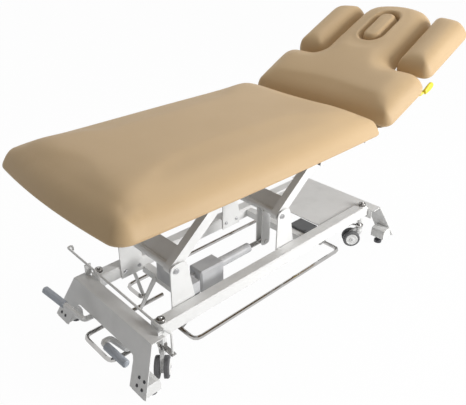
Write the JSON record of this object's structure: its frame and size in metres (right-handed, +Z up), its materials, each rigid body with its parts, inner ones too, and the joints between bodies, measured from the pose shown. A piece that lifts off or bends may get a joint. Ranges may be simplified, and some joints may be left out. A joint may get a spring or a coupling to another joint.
{
  "type": "massage table",
  "caption": "Powered massage table with a tilting head section, folding arm pads, a parallel arm lift and castors that a pedal retracts.",
  "frame": {"origin": "middle of the bounding box on the floor", "axes": "+X from the foot end to the head end, +Y to the far side, +Z up"},
  "size_m": [1.7276, 0.6998, 0.9564],
  "materials": {
    "white_coat": "gloss",
    "beige_cover": "satin",
    "chrome": "polished",
    "steel": "satin",
    "grey_plastic": "satin",
    "grip_grey": "matte",
    "dark_plastic": "satin",
    "black_rubber": "matte",
    "wheel_white": "satin",
    "board_wood": "matte",
    "lever_yellow": "satin"
  },
  "bodies": {
    "base": {"foot_bridge": "white_coat", "head_bridge": "white_coat", "base_frame": "white_coat", "deck_plate": "white_coat", "control_box": "dark_plastic", "foot_tower_near": "white_coat", "foot_tower_far": "white_coat", "head_tower_near": "white_coat", "head_tower_far": "white_coat", "lower_axle_foot": "steel", "lower_axle_head": "steel", "actuator_mount": "grey_plastic", "actuator_pin": "steel", "bar_hanger": "white_coat"},
    "lift_foot": {"lift_frame_foot": "white_coat"},
    "lift_head": {"lift_frame_head": "white_coat"},
    "top": {"top_frame": "white_coat", "main_board": "board_wood", "main_cushion": "beige_cover", "upper_axle_foot": "steel", "upper_axle_head": "steel", "head_hinge_pin_near": "steel", "head_hinge_pin_far": "steel"},
    "actuator": {"actuator_housing": "grey_plastic", "actuator_tube": "grey_plastic"},
    "actuator_ram": {"actuator_rod": "steel"},
    "head_section": {"head_frame": "white_coat", "head_board": "board_wood", "head_cushion": "beige_cover"},
    "plug": {"face_plug": "beige_cover"},
    "strut": {"gas_strut_body": "dark_plastic"},
    "strut_ram": {"gas_strut_rod": "steel"},
    "lever": {"release_lever": "lever_yellow"},
    "pedals": {"pedal_rocker": "white_coat", "pedal_grip_left": "grip_grey", "pedal_grip_right": "grip_grey"},
    "bar_near": {"switch_bar_near": "chrome"},
    "bar_far": {"switch_bar_far": "chrome"},
    "bar_end": {"switch_bar_end": "chrome"},
    "pad_near": {"arm_pad_near": "beige_cover", "pad_bracket_near": "white_coat"},
    "pad_far": {"arm_pad_far": "beige_cover", "pad_bracket_far": "white_coat"},
    "stem_foot_near": {"castor_stem_foot_near": "dark_plastic", "castor_link_rod": "white_coat"},
    "fork_foot_near": {"castor_fork_foot_near": "wheel_white"},
    "wheels_foot_near": {"castor_wheels_foot_near": "black_rubber"},
    "stem_foot_far": {"castor_stem_foot_far": "dark_plastic"},
    "fork_foot_far": {"castor_fork_foot_far": "wheel_white"},
    "wheels_foot_far": {"castor_wheels_foot_far": "black_rubber"},
    "stem_head_near": {"castor_stem_head_near": "dark_plastic"},
    "fork_head_near": {"castor_fork_head_near": "wheel_white"},
    "wheels_head_near": {"castor_wheels_head_near": "black_rubber"},
    "stem_head_far": {"castor_stem_head_far": "dark_plastic"},
    "fork_head_far": {"castor_fork_head_far": "wheel_white"},
    "wheels_head_far": {"castor_wheels_head_far": "black_rubber"},
    "levelling_foot_foot_near": {"levelling_foot_foot_near": "black_rubber"},
    "levelling_foot_foot_far": {"levelling_foot_foot_far": "black_rubber"},
    "levelling_foot_head_near": {"levelling_foot_head_near": "black_rubber"},
    "levelling_foot_head_far": {"levelling_foot_head_far": "black_rubber"}
  },
  "joints": [
    {"name": "lift", "type": "hinge", "parent": "base", "child": "lift_foot", "pos_m": [-0.56419, 0, 0.332], "axis": [0, -1, 0], "range_deg": [-21, 26]},
    {"name": "lift_head_arm", "type": "hinge", "parent": "base", "child": "lift_head", "pos_m": [-0.05819, 0, 0.332], "axis": [0, -1, 0], "range_deg": [-21, 26]},
    {"name": "top_level", "type": "hinge", "parent": "lift_foot", "child": "top", "pos_m": [-0.28255, 0, 0.56417], "axis": [0, -1, 0], "range_deg": [-26, 21]},
    {"name": "actuator_pivot", "type": "hinge", "parent": "base", "child": "actuator", "pos_m": [-0.43519, -0.06, 0.186], "axis": [0, -1, 0], "range_deg": [-2, 2]},
    {"name": "actuator_stroke", "type": "slide", "parent": "actuator", "child": "actuator_ram", "axis": [1, 0, 0], "range_m": [-0.066, 0.068]},
    {"name": "head_tilt", "type": "hinge", "parent": "top", "child": "head_section", "pos_m": [0.25681, 0, 0.628], "axis": [0, -1, 0], "range_deg": [-25.2, 12]},
    {"name": "strut_pivot", "type": "hinge", "parent": "top", "child": "strut", "pos_m": [0.11881, -0.17, 0.503], "axis": [0, -1, 0], "range_deg": [-14, 7]},
    {"name": "strut_stroke", "type": "slide", "parent": "strut", "child": "strut_ram", "axis": [0.9346, 0, 0.3556], "range_m": [-0.037, 0.018]},
    {"name": "plug_lift", "type": "slide", "parent": "head_section", "child": "plug", "axis": [-0.4258, 0, 0.9048], "range_m": [0, 0.07]},
    {"name": "lever_pull", "type": "hinge", "parent": "head_section", "child": "lever", "pos_m": [0.51993, -0.153, 0.71236], "axis": [0, -1, 0], "range_deg": [-12, 12]},
    {"name": "arm_pad_near_drop", "type": "hinge", "parent": "head_section", "child": "pad_near", "pos_m": [0.5694, -0.2535, 0.73851], "axis": [0, 1, 0], "range_deg": [0, 30]},
    {"name": "arm_pad_far_drop", "type": "hinge", "parent": "head_section", "child": "pad_far", "pos_m": [0.5694, 0.2535, 0.73851], "axis": [0, 1, 0], "range_deg": [0, 30]},
    {"name": "pedal_rock", "type": "hinge", "parent": "base", "child": "pedals", "pos_m": [-0.70719, 0, 0.088], "axis": [1, 0, 0], "range_deg": [-13, 0]},
    {"name": "castor_lift_foot_near", "type": "slide", "parent": "base", "child": "stem_foot_near", "axis": [0, 0, 1], "range_m": [0, 0.0122]},
    {"name": "castor_swivel_foot_near", "type": "hinge", "parent": "stem_foot_near", "child": "fork_foot_near", "pos_m": [-0.65719, -0.183, 0], "axis": [0, 0, 1], "continuous": true},
    {"name": "castor_roll_foot_near", "type": "hinge", "parent": "fork_foot_near", "child": "wheels_foot_near", "pos_m": [-0.6791, -0.20633, 0.0375], "axis": [0.729, -0.6845, 0], "continuous": true},
    {"name": "castor_lift_foot_far", "type": "slide", "parent": "base", "child": "stem_foot_far", "axis": [0, 0, 1], "range_m": [0, 0.0122]},
    {"name": "castor_swivel_foot_far", "type": "hinge", "parent": "stem_foot_far", "child": "fork_foot_far", "pos_m": [-0.65719, 0.183, 0], "axis": [0, 0, 1], "continuous": true},
    {"name": "castor_roll_foot_far", "type": "hinge", "parent": "fork_foot_far", "child": "wheels_foot_far", "pos_m": [-0.66814, 0.15293, 0.0375], "axis": [0.9397, -0.342, 0], "continuous": true},
    {"name": "castor_lift_head_near", "type": "slide", "parent": "base", "child": "stem_head_near", "axis": [0, 0, 1], "range_m": [0, 0.0122]},
    {"name": "castor_swivel_head_near", "type": "hinge", "parent": "stem_head_near", "child": "fork_head_near", "pos_m": [0.44681, -0.183, 0], "axis": [0, 0, 1], "continuous": true},
    {"name": "castor_roll_head_near", "type": "hinge", "parent": "fork_head_near", "child": "wheels_head_near", "pos_m": [0.42348, -0.16109, 0.0375], "axis": [-0.6845, -0.729, 0], "continuous": true},
    {"name": "castor_lift_head_far", "type": "slide", "parent": "base", "child": "stem_head_far", "axis": [0, 0, 1], "range_m": [0, 0.0122]},
    {"name": "castor_swivel_head_far", "type": "hinge", "parent": "stem_head_far", "child": "fork_head_far", "pos_m": [0.44681, 0.183, 0], "axis": [0, 0, 1], "continuous": true},
    {"name": "castor_roll_head_far", "type": "hinge", "parent": "fork_head_far", "child": "wheels_head_far", "pos_m": [0.47581, 0.19652, 0.0375], "axis": [-0.4226, 0.9063, 0], "continuous": true},
    {"name": "level_foot_near", "type": "slide", "parent": "base", "child": "levelling_foot_foot_near", "axis": [0, 0, 1], "range_m": [-0.003, 0.005]},
    {"name": "level_foot_far", "type": "slide", "parent": "base", "child": "levelling_foot_foot_far", "axis": [0, 0, 1], "range_m": [-0.003, 0.005]},
    {"name": "level_head_near", "type": "slide", "parent": "base", "child": "levelling_foot_head_near", "axis": [0, 0, 1], "range_m": [-0.003, 0.005]},
    {"name": "level_head_far", "type": "slide", "parent": "base", "child": "levelling_foot_head_far", "axis": [0, 0, 1], "range_m": [-0.003, 0.005]},
    {"name": "switch_near", "type": "hinge", "parent": "base", "child": "bar_near", "pos_m": [-0.10519, -0.108, 0.06], "axis": [1, 0, 0], "range_deg": [-2, 8]},
    {"name": "switch_far", "type": "hinge", "parent": "base", "child": "bar_far", "pos_m": [-0.10519, 0.108, 0.06], "axis": [-1, 0, 0], "range_deg": [-2, 8]},
    {"name": "switch_end", "type": "hinge", "parent": "base", "child": "bar_end", "pos_m": [-0.57019, 0, 0.046], "axis": [0, -1, 0], "range_deg": [-1, 5]}
  ],
  "couplings": [
    {"joint": "lift_head_arm", "follows": "lift", "ratio": 1},
    {"joint": "top_level", "follows": "lift", "ratio": -1},
    {"joint": "actuator_stroke", "follows": "lift", "m_per_rad": 0.146},
    {"joint": "strut_pivot", "follows": "head_tilt", "ratio": 0.524},
    {"joint": "strut_stroke", "follows": "head_tilt", "m_per_rad": 0.08},
    {"joint": "castor_lift_foot_near", "follows": "pedal_rock", "m_per_rad": -0.0529},
    {"joint": "castor_lift_foot_far", "follows": "pedal_rock", "m_per_rad": -0.0529},
    {"joint": "castor_lift_head_near", "follows": "pedal_rock", "m_per_rad": -0.0529},
    {"joint": "castor_lift_head_far", "follows": "pedal_rock", "m_per_rad": -0.0529}
  ]
}
